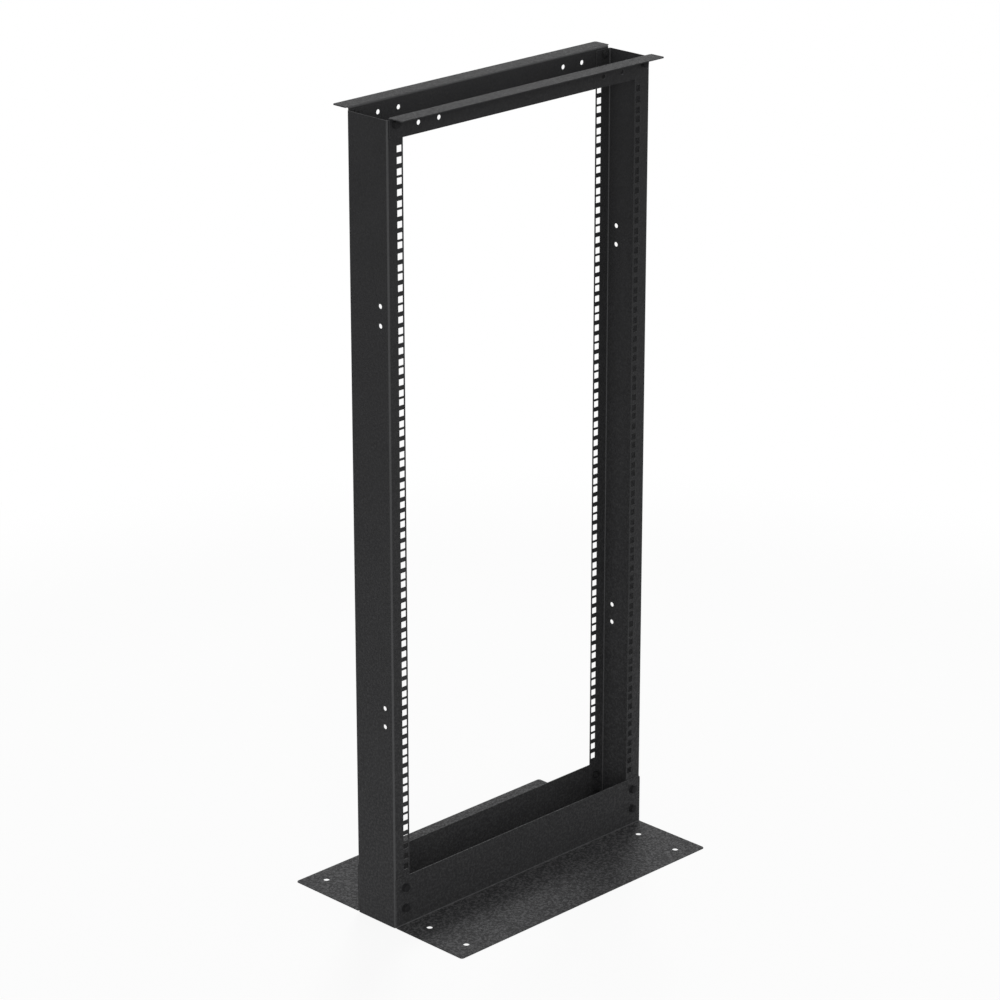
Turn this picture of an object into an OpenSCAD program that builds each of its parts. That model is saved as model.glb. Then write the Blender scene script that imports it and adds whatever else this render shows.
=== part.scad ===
// Two-post open frame equipment rack, folded from sheet steel.
// Two channel posts stand with their webs outside and their flanges turned in,
// and four folded angles tie them together at the top and on the floor.
// The origin is on the floor, midway between the posts: +X is to the right,
// -Y is the front and +Z is up.

/* [Rack space] */
// Number of rack units of square holes
units = 24; // [6:1:48]
// Height of one rack unit
unit_h = 44.45; // [44:0.05:50]
// Distance between the two columns of square holes
column_w = 465.1; // [400:0.1:620]
// Distance from a column to the free edge of its flange
column_edge = 6.55; // [5.5:0.05:12]
// Side of one square hole
square_hole = 9.5; // [8:0.1:10]
// Height from a rack unit's edge to its first hole's centre
first_hole = 6.35; // [6.1:0.05:6.6]
// Height from a rack unit's first hole to its second, and on to its third
hole_step = 15.875; // [15.5:0.025:16.1]
// Plain flange between the holes' last rack unit and an angle
rail_margin = 8.4; // [2:0.2:30]

/* [Posts] */
// Width of a post's flange, over its web
post_flange = 29.4; // [26:0.2:45]
// Depth of a post, over both flanges
post_depth = 77.2; // [70:0.2:150]
// Thickness of a post's sheet
post_t = 1.5; // [1:0.1:2.5]
// How far a post's top lies under the top angles
post_drop = 4.2; // [0:0.2:8]

/* [Top angles] */
// Height of a top angle's leg
top_leg_h = 31.5; // [28:0.5:60]
// Width of a top angle's flange, over its leg
top_flange_w = 29; // [15:0.5:80]
// How far a top angle's leg ends inside the rack's side
top_leg_setback = 3.6; // [0:0.2:8]

/* [Base angles] */
// Height of a base angle's leg
base_leg_h = 77; // [60:1:140]
// Width of a base angle's plate, over its leg
base_plate_w = 135; // [125:1:250]
// How far a base angle ends inside the rack's side
base_setback = 1; // [0:0.2:8]

/* [Folding] */
// Thickness of an angle's sheet
angle_t = 1.5; // [1:0.1:2.5]
// Inside radius of every fold
fold_r = 1.5; // [0.5:0.1:3]
// Radius of the free corners of the angles
corner_r = 4; // [1:0.5:10]

/* [Holes] */
// Diameter of a hole for a frame bolt
bolt_d = 6.6; // [5:0.1:8]
// Distance of the frame bolts in the top legs from the rack's side
top_bolt_inset = 14; // [10:0.5:19]
// Height of the frame bolts in the top legs, under the rack's top
top_bolt_drop = 11; // [8:0.5:20]
// Distance of the frame bolts in the base legs from the rack's side
base_bolt_inset = 18.4; // [10:0.2:20]
// Height of the upper frame bolt in a base leg, under the leg's edge
base_bolt_drop = 17.4; // [12:0.2:22]
// Distance between the two frame bolts in a base leg
base_bolt_step = 32; // [15:0.5:34]
// Diameter of an accessory hole in a top leg
top_hole_d = 7; // [4:0.1:10]
// Distance of a top leg's outer accessory holes from the rack's side
top_hole_inset = 57.4; // [35:0.2:80]
// Height of a top leg's accessory holes over its lower edge
top_hole_rise = 15; // [9:0.5:18]
// Distance between the two accessory holes at each end of a top leg
top_hole_step = 38; // [20:0.5:80]
// Diameter of a hole in a post's web
web_hole_d = 7; // [4:0.1:10]
// Distance of the web holes from a post's middle
web_hole_offset = 21.8; // [0:0.2:25]
// Distance between the two web holes of a pair
web_pair_gap = 28; // [15:0.5:60]
// Distance from the middle of the holes' height to a pair of web holes
web_pair_reach = 295; // [60:1:480]
// Diameter of a floor anchor hole
floor_hole_d = 9; // [6:0.1:12]
// Distance of the floor holes from the end of a base plate
floor_hole_inset = 35.4; // [20:0.2:80]
// Distance of the outer floor holes from the plate's free edge
floor_hole_edge = 27; // [15:0.5:35]
// Distance between the inner and outer floor holes
floor_hole_step = 75; // [40:0.5:78]

/* [Hidden] */

$fn = 48;
// Extra length of a cutter past the sheet that it cuts
over = 2;
paint = [0.17, 0.17, 0.175];

opening_w = column_w - 2 * column_edge;
rack_w = opening_w + 2 * post_flange;
first_unit_z = base_leg_h + rail_margin;
rail_h = units * unit_h;
rail_mid_z = first_unit_z + rail_h / 2;
rack_h = first_unit_z + rail_h + rail_margin + top_leg_h;
post_h = rack_h - post_drop;

top_bolt_x = rack_w / 2 - top_bolt_inset;
top_bolt_z = rack_h - top_bolt_drop;
base_bolt_x = rack_w / 2 - base_bolt_inset;
base_bolt_z = base_leg_h - base_bolt_drop;
base_w = rack_w - 2 * base_setback;

// ---- Shapes that repeat ----

module in_pairs(axis) {
    children();
    mirror(axis) children();
}

// A quarter of a fold, with the sharp corner that it rounds at the origin
module fold(t) {
    outer_r = fold_r + t;
    translate([outer_r, outer_r]) difference() {
        intersection() {
            circle(outer_r);
            translate([-outer_r, -outer_r]) square(outer_r);
        }
        circle(fold_r);
    }
}

// One fold with a wing along x and a wing along y, its heel at the origin
module folded_wings(wing_x, wing_y, t) {
    outer_r = fold_r + t;
    fold(t);
    translate([outer_r, 0]) square([wing_x - outer_r, t]);
    translate([0, outer_r]) square([t, wing_y - outer_r]);
}

// A channel open towards +x, its web's outer face on the y axis
module channel_profile(flange, depth, t) {
    outer_r = fold_r + t;
    in_pairs([0, 1]) translate([0, -depth / 2]) {
        fold(t);
        translate([outer_r, 0]) square([flange - outer_r, t]);
    }
    translate([0, outer_r - depth / 2]) square([t, depth - 2 * outer_r]);
}

// What is taken off a free corner at the origin of a sheet in the first quadrant
module corner_waste(t) {
    translate([0, 0, -over]) linear_extrude(t + 2 * over) difference() {
        translate([-over, -over]) square(corner_r + over);
        translate([corner_r, corner_r]) circle(corner_r);
    }
}

// A round cutter along y, its middle at the origin
module drill_y(d, length) {
    rotate([90, 0, 0]) cylinder(d = d, h = length, center = true);
}

// ---- Posts ----

// The square holes of one column, through both flanges of a post
module rail_cutter(depth) {
    for (unit = [0 : units - 1], step = [0 : 2])
        translate([0, 0, first_unit_z + unit * unit_h + first_hole + step * hole_step])
            cube([square_hole, depth, square_hole], center = true);
}

// Holes for the frame bolts, through both flanges of the post on the left
module post_bolt_cutter(depth) {
    translate([-top_bolt_x, 0, top_bolt_z]) drill_y(bolt_d, depth);
    for (hole = [0, 1])
        translate([-base_bolt_x, 0, base_bolt_z - hole * base_bolt_step])
            drill_y(bolt_d, depth);
}

// Two pairs of holes through a post's web, towards the front
module web_cutter() {
    for (pair = [-1, 1], hole = [-1, 1])
        translate([0, -web_hole_offset, rail_mid_z + pair * web_pair_reach + hole * web_pair_gap / 2])
            rotate([0, 90, 0]) cylinder(d = web_hole_d, h = 2 * (post_t + over), center = true);
}

// The post on the left: the one on the right is the same part turned half round
module post() {
    cut_depth = post_depth + 2 * over;
    difference() {
        translate([-rack_w / 2, 0, 0])
            linear_extrude(post_h) channel_profile(post_flange, post_depth, post_t);
        translate([-column_w / 2, 0, 0]) rail_cutter(cut_depth);
        post_bolt_cutter(cut_depth);
        translate([-rack_w / 2, 0, 0]) web_cutter();
    }
}

// ---- Angles ----

// An angle across the rack's front. Its heel is on the line y = 0, z = 0,
// its leg stands up and its plate runs forward. The leg may end short of the plate,
// and the fold between them ends with it.
module plain_angle(length, plate_w, leg_h, leg_setback = 0) {
    fold_zone = fold_r + angle_t;
    difference() {
        translate([-length / 2, 0, 0]) rotate([90, 0, 90]) linear_extrude(length)
            mirror([1, 0]) folded_wings(plate_w, leg_h, angle_t);
        in_pairs([1, 0, 0]) translate([-length / 2, 0, 0]) {
            translate([0, -plate_w, 0]) corner_waste(angle_t);
            translate([leg_setback, 0, leg_h])
                mirror([0, 0, 1]) rotate([90, 0, 0]) corner_waste(angle_t);
            translate([-over, -fold_zone, -over])
                cube([leg_setback + over, fold_zone + over, leg_h + 2 * over]);
        }
    }
}

module top_angle() {
    translate([0, -post_depth / 2, rack_h]) mirror([0, 0, 1]) difference() {
        plain_angle(rack_w, top_flange_w, top_leg_h, top_leg_setback);
        for (side = [-1, 1]) {
            translate([side * top_bolt_x, 0, top_bolt_drop])
                drill_y(bolt_d, 2 * (angle_t + over));
            for (hole = [0, 1])
                translate([
                    side * (rack_w / 2 - top_hole_inset - hole * top_hole_step),
                    0,
                    top_leg_h - top_hole_rise
                ])
                    drill_y(top_hole_d, 2 * (angle_t + over));
        }
    }
}

module base_angle() {
    translate([0, -post_depth / 2, 0]) difference() {
        plain_angle(base_w, base_plate_w, base_leg_h);
        for (side = [-1, 1], hole = [0, 1]) {
            translate([side * base_bolt_x, 0, base_bolt_z - hole * base_bolt_step])
                drill_y(bolt_d, 2 * (angle_t + over));
            translate([
                side * (base_w / 2 - floor_hole_inset),
                floor_hole_edge + hole * floor_hole_step - base_plate_w,
                angle_t / 2
            ])
                cylinder(d = floor_hole_d, h = angle_t + 2 * over, center = true);
        }
    }
}

// ---- Nodes ----

module left_post() color(paint) post();
module right_post() color(paint) rotate([0, 0, 180]) post();
module top_angle_front() color(paint) top_angle();
module top_angle_rear() color(paint) rotate([0, 0, 180]) top_angle();
module base_angle_front() color(paint) base_angle();
module base_angle_rear() color(paint) rotate([0, 0, 180]) base_angle();

left_post();
right_post();
top_angle_front();
top_angle_rear();
base_angle_front();
base_angle_rear();
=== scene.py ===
# %% [markdown]
# # A two-post open frame rack
#
# The rack is black textured powder coat on folded sheet steel: two channel posts, two angles
# across the top and two wide angles on the floor, held together by small black bolts.
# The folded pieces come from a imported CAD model, which is loaded as a fixed frame. This lesson
# adds what the CAD leaves out: the coating, the soft edges that it gives to cut sheet, the
# bolts, a studio and a camera.

# %% Load the frame
import math
import random

import bmesh
import bpy
from mathutils import Matrix, Vector


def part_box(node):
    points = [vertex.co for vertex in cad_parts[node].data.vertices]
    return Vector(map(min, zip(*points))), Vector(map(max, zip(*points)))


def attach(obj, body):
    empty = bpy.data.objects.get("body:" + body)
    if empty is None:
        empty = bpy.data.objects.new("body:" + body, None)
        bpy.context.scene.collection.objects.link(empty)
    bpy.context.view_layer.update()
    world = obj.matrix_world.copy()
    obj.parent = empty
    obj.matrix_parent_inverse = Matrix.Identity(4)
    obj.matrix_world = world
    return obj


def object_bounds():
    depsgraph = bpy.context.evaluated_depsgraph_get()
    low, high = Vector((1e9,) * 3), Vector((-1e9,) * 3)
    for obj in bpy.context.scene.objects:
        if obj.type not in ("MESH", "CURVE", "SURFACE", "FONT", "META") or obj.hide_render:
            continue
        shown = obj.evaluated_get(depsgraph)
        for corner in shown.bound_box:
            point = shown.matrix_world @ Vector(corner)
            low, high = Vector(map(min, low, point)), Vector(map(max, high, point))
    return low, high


bpy.ops.wm.read_factory_settings(use_empty=True)

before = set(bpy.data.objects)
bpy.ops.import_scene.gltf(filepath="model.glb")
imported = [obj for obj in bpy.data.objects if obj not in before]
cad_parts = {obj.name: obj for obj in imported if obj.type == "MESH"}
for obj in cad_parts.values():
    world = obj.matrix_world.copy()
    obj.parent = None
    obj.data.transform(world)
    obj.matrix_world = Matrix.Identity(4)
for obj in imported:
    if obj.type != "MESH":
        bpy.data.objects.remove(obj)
cad_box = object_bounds()
rack_low, rack_high = cad_box
rack_middle = (rack_low + rack_high) / 2
scene = bpy.context.scene
MM = 0.001
print("rack size in mm:", [round(size / MM, 1) for size in rack_high - rack_low])

# %% [markdown]
# ## Camera
#
# A long lens from far away keeps the posts nearly parallel, as in a catalogue picture.
# The camera stands to the front left, so that one side, the front and the inside of the
# right post all show, and it looks a little down on the floor plates. Its place is worked out
# from a turn, a rise and a distance, which are easier to adjust than three coordinates.

# %% Camera
CAMERA_TURN = math.radians(45.0)
CAMERA_RISE = math.radians(20.32)
CAMERA_DISTANCE = 5.3139
LENS = 133.92
SENSOR = 36.0
AIM_OFF_MIDDLE = Vector((-4.5, 0.5, -17.8)) * MM

camera_data = bpy.data.cameras.new("camera")
camera_data.lens = LENS
camera_data.sensor_width = SENSOR
camera = bpy.data.objects.new("camera", camera_data)
scene.collection.objects.link(camera)
aim = rack_middle + AIM_OFF_MIDDLE
back = Vector(
    (
        -math.sin(CAMERA_TURN) * math.cos(CAMERA_RISE),
        -math.cos(CAMERA_TURN) * math.cos(CAMERA_RISE),
        math.sin(CAMERA_RISE),
    )
)
camera.location = aim + back * CAMERA_DISTANCE
camera.rotation_euler = back.to_track_quat("Z", "Y").to_euler()
scene.camera = camera
print("camera at", [round(value, 3) for value in camera.location])

# %% [markdown]
# ## Material helpers
#
# A material is a small graph. One function adds a node with its settings and its links, and
# one turns a hex colour, which is how paint is quoted, into the linear light that Cycles uses.

# %% Helpers for materials


def linear(hex_colour):
    channels = [int(hex_colour[start : start + 2], 16) / 255 for start in (1, 3, 5)]
    return [
        value / 12.92 if value <= 0.04045 else ((value + 0.055) / 1.055) ** 2.4
        for value in channels
    ] + [1.0]


def new_material(name):
    material = bpy.data.materials.new(name)
    material.use_nodes = True
    material.node_tree.nodes.clear()
    return material


def add_node(tree, kind, settings=None, **inputs):
    """An input goes by its name, or by _ and its number where the name is not enough."""
    node = tree.nodes.new(kind)
    for key, value in (settings or {}).items():
        setattr(node, key, value)
    for key, value in inputs.items():
        socket = node.inputs[int(key[1:]) if key[1:].isdigit() else key.replace("_", " ")]
        if isinstance(value, bpy.types.NodeSocket):
            tree.links.new(value, socket)
        else:
            socket.default_value = value
    return node


# %% [markdown]
# ## Textured powder coat
#
# The rack is sprayed with dry polyester powder and baked. The fine-texture grade shrinks as it
# cures, which leaves a skin of tiny bumps. It is a dielectric: near black, with a broad soft
# shine in which nothing is mirrored. Layers on Object coordinates make it instead: a slow drift
# in the coat's thickness, a painted highlight along each fold, pale specks that are partly dust
# and partly painted light, most of them low down and on what faces up, and the bumps. The real
# bumps are under a millimetre wide, too fine to show from here, so bumps, flecks and specks are
# all drawn a few times as coarse, and the bumps as much higher.

# %% Sizes of the coat's patterns, in metres, and its colours
GRAIN = 2.4 * MM
GRAIN_HEIGHT = 1.2 * MM
FLECK = 3.2 * MM
SPECK = 3.6 * MM
DRIFT = 60.0 * MM
# The fold colour below is a painted highlight, paler than the coat.
COAT_THICK = "#29292a"
COAT_PALER = "#303031"
PAINTED_FOLD_HIGHLIGHT = "#4b4b4c"
# The speck colour below is partly dust and partly painted light on faces that face up or lie low.
DUST_AND_PAINTED_LIGHT = "#585859"


# %% Layers of the coat


def drifting_coat(tree, place):
    """The coat is a little thinner, and so a little paler, in places."""
    drift = add_node(
        tree, "ShaderNodeTexNoise", Vector=place, Scale=1 / DRIFT, Detail=3.0, Roughness=0.55
    )
    colour = add_node(
        tree,
        "ShaderNodeMix",
        {"data_type": "RGBA"},
        Factor=drift.outputs["Fac"],
        _6=linear(COAT_THICK),
        _7=linear(COAT_PALER),
    )
    return colour.outputs[2]


def paint_fold_highlights(tree, coat, facing):
    """A painted highlight: each fold is paler than the flats, standing in for the light it
    catches.
    """
    # A flat of this rack faces along Y or square to it, and a fold faces in between. So the
    # square of the normal's Y is 0 or 1 on the flats, and PINGPONG makes both of them 0.
    squared = add_node(
        tree,
        "ShaderNodeMath",
        {"operation": "MULTIPLY"},
        _0=facing.outputs["Y"],
        _1=facing.outputs["Y"],
    )
    fold = add_node(
        tree, "ShaderNodeMath", {"operation": "PINGPONG"}, _0=squared.outputs[0], _1=0.5
    )
    highlight_mask = add_node(
        tree, "ShaderNodeMapRange", Value=fold.outputs[0], From_Min=0.01, From_Max=0.15
    )
    colour = add_node(
        tree,
        "ShaderNodeMix",
        {"data_type": "RGBA"},
        Factor=highlight_mask.outputs["Result"],
        _6=coat,
        _7=linear(PAINTED_FOLD_HIGHLIGHT),
    )
    return colour.outputs[2]


def dust_and_painted_light(tree, coat, place, facing):
    """Pale specks, partly dust in the hollows and partly painted light: most on what faces up,
    and most of all near the floor.
    """
    facing_up = add_node(
        tree,
        "ShaderNodeMapRange",
        Value=facing.outputs["Z"],
        From_Min=0.3,
        From_Max=0.9,
        To_Min=0.3,
        To_Max=1.0,
    )
    height = add_node(tree, "ShaderNodeSeparateXYZ", _0=place)
    low_down = add_node(
        tree,
        "ShaderNodeMapRange",
        Value=height.outputs["Z"],
        From_Min=0.1,
        From_Max=1.1,
        To_Min=1.0,
        To_Max=0.1,
    )
    specks = add_node(
        tree, "ShaderNodeTexNoise", Vector=place, Scale=1 / SPECK, Detail=6.0, Roughness=0.7
    )
    hollows = add_node(
        tree, "ShaderNodeMapRange", Value=specks.outputs["Fac"], From_Min=0.46, From_Max=0.6
    )
    # Painted light mixed with dust: the specks gather on up-facing faces and near the floor, so
    # these read brighter.
    up_and_low_down = add_node(
        tree,
        "ShaderNodeMath",
        {"operation": "MULTIPLY"},
        _0=facing_up.outputs["Result"],
        _1=low_down.outputs["Result"],
    )
    speck_and_light_mask = add_node(
        tree,
        "ShaderNodeMath",
        {"operation": "MULTIPLY"},
        _0=up_and_low_down.outputs[0],
        _1=hollows.outputs["Result"],
    )
    colour = add_node(
        tree,
        "ShaderNodeMix",
        {"data_type": "RGBA"},
        Factor=speck_and_light_mask.outputs[0],
        _6=coat,
        _7=linear(DUST_AND_PAINTED_LIGHT),
    )
    return colour.outputs[2]


def shine_of_flecks(tree, place):
    """Grains that cured flatter shine more than the grains round them."""
    fleck = add_node(
        tree, "ShaderNodeTexNoise", Vector=place, Scale=1 / FLECK, Detail=3.0, Roughness=0.6
    )
    shine = add_node(
        tree,
        "ShaderNodeMapRange",
        Value=fleck.outputs["Fac"],
        From_Min=0.3,
        From_Max=0.7,
        To_Min=0.65,
        To_Max=0.85,
    )
    return shine.outputs["Result"]


def bumps(tree, place):
    """The relief of the skin itself."""
    grain = add_node(
        tree, "ShaderNodeTexNoise", Vector=place, Scale=1 / GRAIN, Detail=4.0, Roughness=0.7
    )
    bump = add_node(
        tree,
        "ShaderNodeBump",
        Strength=1.0,
        Distance=GRAIN_HEIGHT,
        Height=grain.outputs["Fac"],
    )
    return bump.outputs["Normal"]


# %% Powder coat


def textured_powder_coat():
    """A near-black skin that scatters what it reflects, like fine leather seen from afar."""
    material = new_material("textured_powder_coat")
    tree = material.node_tree
    place = add_node(tree, "ShaderNodeTexCoord").outputs["Object"]
    normal = add_node(tree, "ShaderNodeNewGeometry").outputs["Normal"]
    facing = add_node(tree, "ShaderNodeSeparateXYZ", _0=normal)
    coat = drifting_coat(tree, place)
    # Each fold gets a painted highlight.
    coat = paint_fold_highlights(tree, coat, facing)
    # Pale specks, partly dust and partly painted light, gather low down and on what faces up.
    coat = dust_and_painted_light(tree, coat, place, facing)
    surface = add_node(
        tree,
        "ShaderNodeBsdfPrincipled",
        Base_Color=coat,
        Roughness=shine_of_flecks(tree, place),
        IOR=1.25,
        Normal=bumps(tree, place),
    )
    add_node(tree, "ShaderNodeOutputMaterial", Surface=surface.outputs["BSDF"])
    return material


powder_coat = textured_powder_coat()
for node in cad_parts.values():
    node.data.materials.clear()
    node.data.materials.append(powder_coat)
print("coated", sorted(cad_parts), "with a grain of", GRAIN / MM, "mm")

# %% [markdown]
# ## Soft edges
#
# Powder pulls back from a cut edge and leaves it round, about a quarter of a millimetre. Drawing
# that in the CAD would be a fillet on some 400 hole edges. Three modifiers do it here: Weld
# joins the triangles, Decimate melts those that lie in one plane, and Bevel rounds the cut
# edges, which are sharp, and leaves the folds, which turn a few degrees a facet. The sizes stay
# as they are, because a bevel only takes metal off.

# %% Round the cut edges of the folded pieces
EDGE_ROUND = 0.25 * MM
SAME_POINT = 0.005 * MM
SAME_PLANE = math.radians(1.0)
CUT_EDGE = math.radians(50.0)
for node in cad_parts.values():
    weld = node.modifiers.new("weld", "WELD")
    weld.merge_threshold = SAME_POINT
    melt = node.modifiers.new("melt", "DECIMATE")
    melt.decimate_type = "DISSOLVE"
    melt.angle_limit = SAME_PLANE
    edge = node.modifiers.new("edge", "BEVEL")
    edge.width = EDGE_ROUND
    edge.segments = 2
    edge.limit_method = "ANGLE"
    edge.angle_limit = CUT_EDGE
    edge.use_clamp_overlap = False
    edge.harden_normals = True

depsgraph = bpy.context.evaluated_depsgraph_get()
for name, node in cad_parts.items():
    shown = node.evaluated_get(depsgraph).to_mesh()
    shown.calc_loop_triangles()
    print(name, "is drawn with", len(shown.loop_triangles), "triangles")

# %% [markdown]
# ## New pieces
#
# Each new piece is shaped in a bmesh, with its place already in its mesh, so that its object can
# stay at the origin.


# %% A helper for new pieces


def add_mesh(name, bm, material):
    """Turns a finished bmesh into an object with one material."""
    mesh = bpy.data.meshes.new(name)
    bm.to_mesh(mesh)
    bm.free()
    mesh.materials.append(material)
    thing = bpy.data.objects.new(name, mesh)
    scene.collection.objects.link(thing)
    return thing


# %% [markdown]
# ## Bolts, washers and nuts
#
# M6 hexagon bolts hold each post to each angle: one through a top leg and two through a base
# leg. They are drawn at their true size, with every part that a real one has, because a plain
# disc would lose the small shadows that say "bolt" from a distance.

# %% Sizes of the fasteners, in metres
SHEET = 1.5 * MM
HEX_FLATS = 10.0 * MM
HEAD_HEIGHT = 4.0 * MM
NUT_HEIGHT = 5.0 * MM
WASHER_RADIUS = 6.0 * MM
WASHER_HOLE = 3.2 * MM
WASHER_THICKNESS = 1.6 * MM
BOLT_LENGTH = 12.0 * MM
THREAD_CREST = 3.0 * MM
THREAD_PITCH = 1.0 * MM
THREAD_ROOT = THREAD_CREST - 0.61 * THREAD_PITCH
ROD_END_RADIUS = THREAD_ROOT - 0.2 * MM
CHAMFER = math.radians(30.0)
CHAMFER_RADIUS = 0.475 * HEX_FLATS
CHAMFER_INSET = HEX_FLATS / 100
WASHER_RIM = 0.25 * MM
MERGE = 0.001 * MM
HEX_SEGMENTS = 48
TURN_SEGMENTS = 24

# %% [markdown]
# ### Heads and nuts
#
# A nut could be a plain prism. A real one is turned to a 30 degree chamfer, which cuts its
# corners into arcs. So each prism is a 48-sided ring pushed out to a hexagon, and its corners
# drop by what the chamfer takes.


# %% Hexagons, each standing up from z = 0


def hexagon_radius(angle):
    """How far the side of a hexagon is from its middle at an angle."""
    sixth = math.pi / 3
    return HEX_FLATS / 2 / math.cos((angle + sixth / 2) % sixth - sixth / 2)


def chamfer_end(bm, cap):
    """Cuts one end of a hexagon to a chamfer, which leaves a round face."""
    side = math.copysign(1.0, cap.normal.z)
    bmesh.ops.inset_region(bm, faces=[cap], thickness=CHAMFER_INSET, use_even_offset=True)
    inner = set(cap.verts)
    outer = {v for face in cap.verts for edge in face.link_edges for v in edge.verts} - inner
    end_z = cap.calc_center_median().z
    for vert in inner:
        angle = math.atan2(vert.co.y, vert.co.x)
        vert.co = Vector((math.cos(angle), math.sin(angle), 0.0)) * CHAMFER_RADIUS
        vert.co.z = end_z
    for vert in outer:
        over = vert.co.xy.length - CHAMFER_RADIUS
        vert.co.z = end_z - side * over * math.tan(CHAMFER)


def hexagon(bm, height, ends):
    """A prism with one end chamfered, as a head has, or both, as a nut has."""
    made = bmesh.ops.create_cone(
        bm,
        cap_ends=True,
        segments=HEX_SEGMENTS,
        radius1=HEX_FLATS / 2,
        radius2=HEX_FLATS / 2,
        depth=height,
    )["verts"]
    bmesh.ops.translate(bm, verts=made, vec=(0.0, 0.0, height / 2))
    for vert in made:
        angle = math.atan2(vert.co.y, vert.co.x)
        vert.co.xy = Vector((math.cos(angle), math.sin(angle))) * hexagon_radius(angle)
    bm.normal_update()
    caps = [face for face in bm.faces if len(face.verts) == HEX_SEGMENTS]
    for cap in caps:
        if cap.normal.z > 0 or ends == 2:
            chamfer_end(bm, cap)


# %% [markdown]
# ### Washers and threads
#
# Both are an outline carried round by a spin. A washer's outline closes on itself and the spin
# merges its start and end. A thread's is a zigzag that also climbs by one pitch a turn, so that
# the end of one turn meets the start of the next. Two plane cuts give the rod its ends.


# %% Turned shapes, each standing up from z = 0


def spin_outline(bm, outline, rise=0.0):
    """Carries an outline once round Z, and up by rise on the way."""
    verts = [bm.verts.new((radius, 0.0, height)) for radius, height in outline]
    edges = [bm.edges.new(pair) for pair in zip(verts, verts[1:])]
    bmesh.ops.spin(
        bm,
        geom=verts + edges,
        cent=(0.0, 0.0, 0.0),
        axis=(0.0, 0.0, 1.0),
        dvec=(0.0, 0.0, rise / TURN_SEGMENTS),
        angle=2 * math.pi,
        steps=TURN_SEGMENTS,
        use_merge=rise == 0.0,
    )


def washer(bm):
    """A flat ring, its outer edge broken on one side, as punching leaves it."""
    outline = [
        (WASHER_HOLE, 0.0),
        (WASHER_RADIUS, 0.0),
        (WASHER_RADIUS, WASHER_THICKNESS - WASHER_RIM),
        (WASHER_RADIUS - WASHER_RIM, WASHER_THICKNESS),
        (WASHER_HOLE, WASHER_THICKNESS),
        (WASHER_HOLE, 0.0),
    ]
    spin_outline(bm, outline)
    bmesh.ops.remove_doubles(bm, verts=bm.verts, dist=MERGE)


def thread(bm, length):
    """A threaded rod that ends at the height length, with a cone on its end."""
    turns = round(length / THREAD_PITCH) + 1
    outline = []
    for turn in range(-1, turns):
        outline.append((THREAD_ROOT, turn * THREAD_PITCH))
        outline.append((THREAD_CREST, (turn + 0.5) * THREAD_PITCH))
    outline.append((THREAD_ROOT, turns * THREAD_PITCH))
    spin_outline(bm, outline, THREAD_PITCH)
    bmesh.ops.remove_doubles(bm, verts=bm.verts, dist=MERGE)
    for height, side in ((0.0, -1.0), (length, 1.0)):
        geometry = bm.verts[:] + bm.edges[:] + bm.faces[:]
        bmesh.ops.bisect_plane(
            bm,
            geom=geometry,
            dist=MERGE / 10,
            plane_co=(0.0, 0.0, height),
            plane_no=(0.0, 0.0, side),
            clear_outer=True,
        )
    for vert in bm.verts:
        limit = ROD_END_RADIUS + (length - vert.co.z)
        if vert.co.xy.length > limit:
            vert.co.xy = vert.co.xy.normalized() * limit
    bmesh.ops.holes_fill(bm, edges=bm.edges, sides=0)


# %% [markdown]
# ### Black oxide
#
# The bolts are plain steel, blackened in a hot salt bath and oiled. The skin is an oxide a
# thousandth of a millimetre thick, so it could be drawn as dark metal, but it scatters light as
# a dull dielectric does. It is a little darker than the coat round it, and its shine drifts
# where the oil has dried.

# %% Black oxide
OIL_DRIFT = 1.5 * MM


def black_oxide():
    """A flat black with no colour of its own and hardly a highlight."""
    material = new_material("black_oxide_steel")
    tree = material.node_tree
    place = add_node(tree, "ShaderNodeTexCoord").outputs["Object"]
    mottle = add_node(
        tree, "ShaderNodeTexNoise", Vector=place, Scale=1 / OIL_DRIFT, Detail=3.0
    )
    oil = add_node(
        tree,
        "ShaderNodeMapRange",
        Value=mottle.outputs["Fac"],
        From_Min=0.3,
        From_Max=0.7,
        To_Min=0.7,
        To_Max=0.85,
    )
    surface = add_node(
        tree,
        "ShaderNodeBsdfPrincipled",
        Base_Color=linear("#232324"),
        Roughness=oil.outputs["Result"],
        IOR=1.2,
    )
    add_node(tree, "ShaderNodeOutputMaterial", Surface=surface.outputs["BSDF"])
    return material


# %% [markdown]
# ### Bolts in their places
#
# The shapes stand up from z = 0, so one matrix turns a bolt to face out of its seat, and each
# part is lifted to its height on the stack: washer and head outside, nut inside, the thread
# through both. A fitter never leaves two hexagons turned alike, so a seeded draw turns them.

# %% Put a bolt together
SHARP_CORNER = math.radians(35.0)


def add_part(target, part, matrix):
    """Moves a finished shape to its place in a larger mesh."""
    bmesh.ops.recalc_face_normals(part, faces=part.faces)
    mesh = bpy.data.meshes.new("part")
    part.to_mesh(mesh)
    part.free()
    mesh.transform(matrix)
    target.from_mesh(mesh)
    bpy.data.meshes.remove(mesh)


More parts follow.
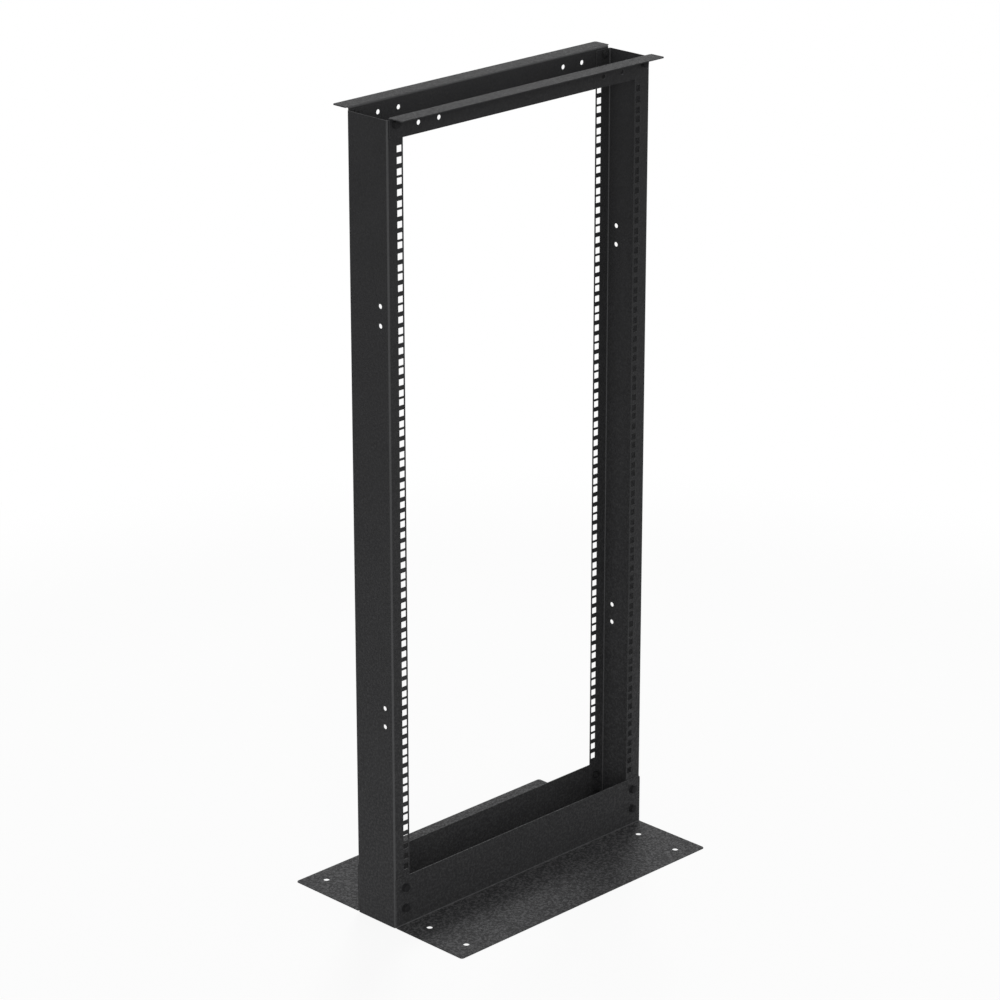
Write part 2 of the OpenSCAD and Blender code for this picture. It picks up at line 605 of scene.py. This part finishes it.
def frame_bolt(name, seat, outwards, turns):
    """A bolt, washer and nut through a leg and a flange, the washer's seat at a point."""
    out_of_seat = Matrix.Translation(seat) @ outwards.to_track_quat("Z", "X").to_matrix().to_4x4()
    on_washer = Matrix.Translation((0.0, 0.0, WASHER_THICKNESS))
    behind_sheets = Matrix.Translation((0.0, 0.0, -2 * SHEET - NUT_HEIGHT))
    bm = bmesh.new()
    part = bmesh.new()
    washer(part)
    add_part(bm, part, out_of_seat)
    part = bmesh.new()
    hexagon(part, HEAD_HEIGHT, 1)
    add_part(bm, part, out_of_seat @ on_washer @ Matrix.Rotation(turns[0], 4, "Z"))
    part = bmesh.new()
    hexagon(part, NUT_HEIGHT, 2)
    add_part(bm, part, out_of_seat @ behind_sheets @ Matrix.Rotation(turns[1], 4, "Z"))
    part = bmesh.new()
    thread(part, BOLT_LENGTH)
    add_part(bm, part, out_of_seat @ on_washer @ Matrix.Rotation(math.pi, 4, "X"))
    thing = add_mesh(name, bm, bolt_black)
    thing.data.shade_smooth()
    thing.data.set_sharp_from_angle(angle=SHARP_CORNER)
    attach(thing, "root")
    return thing


# %% Put the bolts in
TOP_BOLT_INSET = 14.0 * MM
TOP_BOLT_DROP = 11.0 * MM
BASE_BOLT_INSET = 18.4 * MM
BASE_BOLT_HEIGHTS = {"upper": 59.6 * MM, "lower": 27.6 * MM}
bolt_black = black_oxide()
draw = random.Random(7)
leg_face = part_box("left_post")[1].y + SHEET
bolt_places = {"top": (rack_high.x - TOP_BOLT_INSET, rack_high.z - TOP_BOLT_DROP)}
for level, height in BASE_BOLT_HEIGHTS.items():
    bolt_places[f"base_{level}"] = (rack_high.x - BASE_BOLT_INSET, height)
bolts = []
for side_name, side in (("left", -1), ("right", 1)):
    for face_name, face in (("front", -1), ("rear", 1)):
        for place_name, (from_middle, height) in bolt_places.items():
            bolt = frame_bolt(
                f"bolt_{place_name}_{side_name}_{face_name}",
                Vector((side * from_middle, face * leg_face, height)),
                Vector((0.0, face, 0.0)),
                [draw.uniform(0.0, math.pi / 3) for part in range(2)],
            )
            bolts.append(bolt)
faces = [len(bolt.data.polygons) for bolt in bolts]
print(len(bolts), "bolts of", min(faces), "to", max(faces), "faces each")


# %% [markdown]
# ## Studio floor
#
# The rack stands on a wide sheet of white paper, on a greyer floor further out. It could be one
# white diffuse plane, but the light that makes such a plane pure white would bleach the black
# coat. Instead, a ray that comes straight from the camera, or off a glossy face, sees mostly a
# glow of strength 1, and for the rest the lit paper, so that the shadow under the rack stays.
# Every other ray sees plain lit paper. The paper lights the foot of the rack from below, and
# the grey beyond it leaves the top darker, as in a real studio.

# %% Sizes and greys of the floor
PAPER_GLOW = 0.9
PAPER_GREY = 0.85
FLOOR_GREY = 0.3
PAPER_RADIUS = 0.9
PAPER_END = 1.8
FLOOR_REACH = 20.0


# %% Which rays see the background


def sees_the_background(tree):
    """1 for a ray from the camera, off a glossy face or through glass, and 0 for the rest."""
    rays = add_node(tree, "ShaderNodeLightPath")
    mirrored = add_node(
        tree,
        "ShaderNodeMath",
        {"operation": "MAXIMUM"},
        _0=rays.outputs["Is Glossy Ray"],
        _1=rays.outputs["Is Transmission Ray"],
    )
    direct = add_node(
        tree,
        "ShaderNodeMath",
        {"operation": "MAXIMUM"},
        _0=rays.outputs["Is Camera Ray"],
        _1=mirrored.outputs[0],
    )
    return direct.outputs[0]


# %% Floor


def studio_paper():
    """Matt white paper that fades to a grey studio floor, and all of it white to the eye."""
    material = new_material("studio_paper")
    tree = material.node_tree
    place = add_node(tree, "ShaderNodeTexCoord").outputs["Object"]
    away = add_node(tree, "ShaderNodeVectorMath", {"operation": "LENGTH"}, _0=place)
    glow_share = add_node(
        tree,
        "ShaderNodeMapRange",
        {"interpolation_type": "SMOOTHSTEP"},
        Value=away.outputs["Value"],
        From_Min=PAPER_RADIUS,
        From_Max=PAPER_END,
        To_Min=PAPER_GLOW,
        To_Max=1.0,
    )
    paper_grey = add_node(
        tree,
        "ShaderNodeMapRange",
        {"interpolation_type": "SMOOTHSTEP"},
        Value=away.outputs["Value"],
        From_Min=PAPER_RADIUS,
        From_Max=PAPER_END,
        To_Min=PAPER_GREY,
        To_Max=FLOOR_GREY,
    )
    direct = add_node(
        tree,
        "ShaderNodeMath",
        {"operation": "MULTIPLY"},
        _0=sees_the_background(tree),
        _1=glow_share.outputs["Result"],
    )
    lit = add_node(tree, "ShaderNodeBsdfDiffuse", Color=paper_grey.outputs["Result"])
    glow = add_node(tree, "ShaderNodeEmission", Color=[1.0, 1.0, 1.0, 1.0], Strength=1.0)
    both = add_node(
        tree, "ShaderNodeMixShader", _0=direct.outputs[0], _1=lit.outputs[0], _2=glow.outputs[0]
    )
    add_node(tree, "ShaderNodeOutputMaterial", Surface=both.outputs[0])
    return material


bm = bmesh.new()
bmesh.ops.create_grid(bm, x_segments=1, y_segments=1, size=FLOOR_REACH)
floor = add_mesh("floor", bm, studio_paper())
print("floor of", 2 * FLOOR_REACH, "m, white within", PAPER_RADIUS, "m of the rack")

# %% [markdown]
# ## World
#
# The world is white to the camera and in every reflection, and dimmer as a lamp, so that it
# only fills the shadows.

# %% World
WORLD_FILL = 0.47
world = bpy.data.worlds.new("studio")
scene.world = world
world.use_nodes = True
tree = world.node_tree
tree.nodes.clear()
strength = add_node(
    tree,
    "ShaderNodeMix",
    {"data_type": "FLOAT"},
    Factor=sees_the_background(tree),
    A=WORLD_FILL,
    B=1.0,
)
sky = add_node(
    tree, "ShaderNodeBackground", Color=[1.0, 1.0, 1.0, 1.0], Strength=strength.outputs[0]
)
add_node(tree, "ShaderNodeOutputWorld", Surface=sky.outputs[0])

# %% [markdown]
# ## Lamps
#
# Two large soft boxes light the rack. They could stand close, but light from a near lamp falls
# off along a rack this tall, so they hang 15 m away and light top and bottom alike. The front
# one is low and lights the upright faces. The back one is higher, and the floor plates and the
# top flanges shine softly in it, up to where the legs and posts shade them.

# %% Lamps
LAMP_DISTANCE = 15.0
FRONT_RISE = math.radians(15.0)
BACK_TURN = math.radians(231.0)
BACK_RISE = math.radians(38.0)


def softbox(name, turn, rise, size, level):
    """A square lamp; level is how bright it makes a white card that faces it."""
    lamp = bpy.data.lights.new(name, "AREA")
    lamp.size = size
    lamp.energy = level * math.pi**2 * LAMP_DISTANCE**2
    thing = bpy.data.objects.new(name, lamp)
    out = Vector(
        (-math.sin(turn) * math.cos(rise), -math.cos(turn) * math.cos(rise), math.sin(rise))
    )
    thing.location = rack_middle + out * LAMP_DISTANCE
    thing.rotation_euler = out.to_track_quat("Z", "Y").to_euler()
    thing.visible_camera = False
    scene.collection.objects.link(thing)
    print(name, "at", [round(value, 1) for value in thing.location], "lights a card to", level)
    return thing


softbox("front_softbox", CAMERA_TURN, FRONT_RISE, size=6.5, level=0.37)
softbox("back_softbox", BACK_TURN, BACK_RISE, size=4.5, level=0.51)

# %% [markdown]
# ## Finish
#
# Standard view keeps each colour as it was mixed.

# %% Finish
scene.view_settings.view_transform = "Standard"
